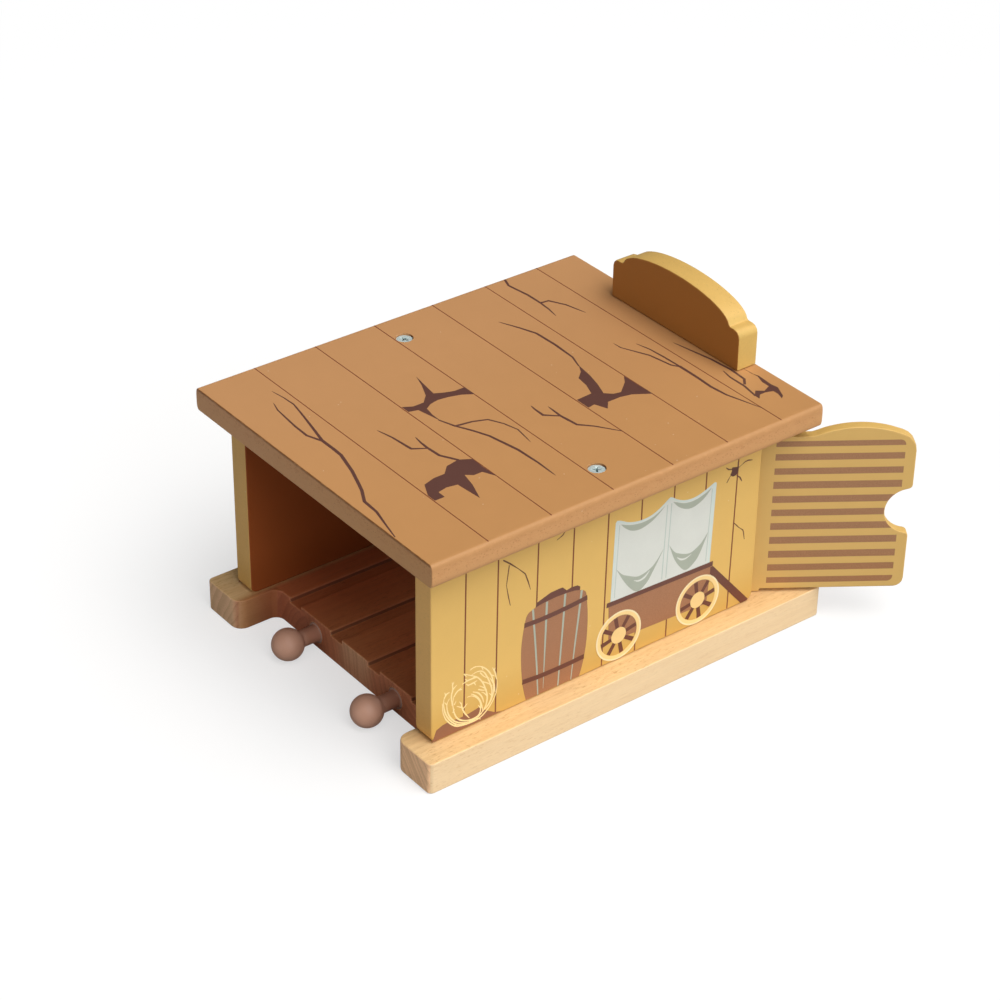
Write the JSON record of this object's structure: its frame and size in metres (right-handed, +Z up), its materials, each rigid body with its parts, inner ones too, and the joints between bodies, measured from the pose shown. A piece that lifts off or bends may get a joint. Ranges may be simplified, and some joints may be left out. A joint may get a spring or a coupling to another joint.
{
  "type": "wooden toy railway depot",
  "caption": "Open-fronted wooden toy railway shed over a twin-track deck, with swinging batwing doors under a roof overhang and ball pegs to couple to track.",
  "frame": {"origin": "centre of the base footprint, on the floor", "axes": "+X across the tracks towards the right wall seen from the open front, +Y along the tracks towards the doors, +Z up"},
  "size_m": [0.1589, 0.2044, 0.1184],
  "materials": {
    "beech": "natural beech, sanded, clear satin",
    "wall_paint": "fibreboard, ochre paint outside, brown paint inside, printed planks",
    "roof_paint": "fibreboard, tan paint with printed planks and cracks, mottled edges",
    "sign_paint": "fibreboard, brown back, ochre edges and front",
    "door_paint": "fibreboard, ochre paint, printed slats",
    "track_peg": "satin moulded, rose brown",
    "zinc_screw": "blue zinc plated",
    "hinge_pin": "plain steel wire",
    "dowel": "plain beech"
  },
  "bodies": {
    "shed": {"base": "beech", "left_wall": "wall_paint", "right_wall": "wall_paint", "roof": "roof_paint", "sign_board": "sign_paint", "left_track_peg": "track_peg", "right_track_peg": "track_peg", "left_roof_screw": "zinc_screw", "right_roof_screw": "zinc_screw", "left_front_base_screw": "zinc_screw", "left_rear_base_screw": "zinc_screw", "right_front_base_screw": "zinc_screw", "right_rear_base_screw": "zinc_screw", "left_sign_screw": "zinc_screw", "right_sign_screw": "zinc_screw", "left_front_roof_dowel": "dowel", "left_rear_roof_dowel": "dowel", "right_front_roof_dowel": "dowel", "right_rear_roof_dowel": "dowel"},
    "left_door": {"left_door": "door_paint", "left_door_lower_pin": "hinge_pin", "left_door_upper_pin": "hinge_pin"},
    "right_door": {"right_door": "door_paint", "right_door_lower_pin": "hinge_pin", "right_door_upper_pin": "hinge_pin"}
  },
  "joints": [
    {"name": "left_door_hinge", "type": "hinge", "parent": "shed", "child": "left_door", "pos_m": [-0.05558, 0.06782, 0.0486], "axis": [0, 0, 1], "range_deg": [-25, 200]},
    {"name": "right_door_hinge", "type": "hinge", "parent": "shed", "child": "right_door", "pos_m": [0.05558, 0.06782, 0.0486], "axis": [0, 0, -1], "range_deg": [-149.6, 75.4]}
  ]
}
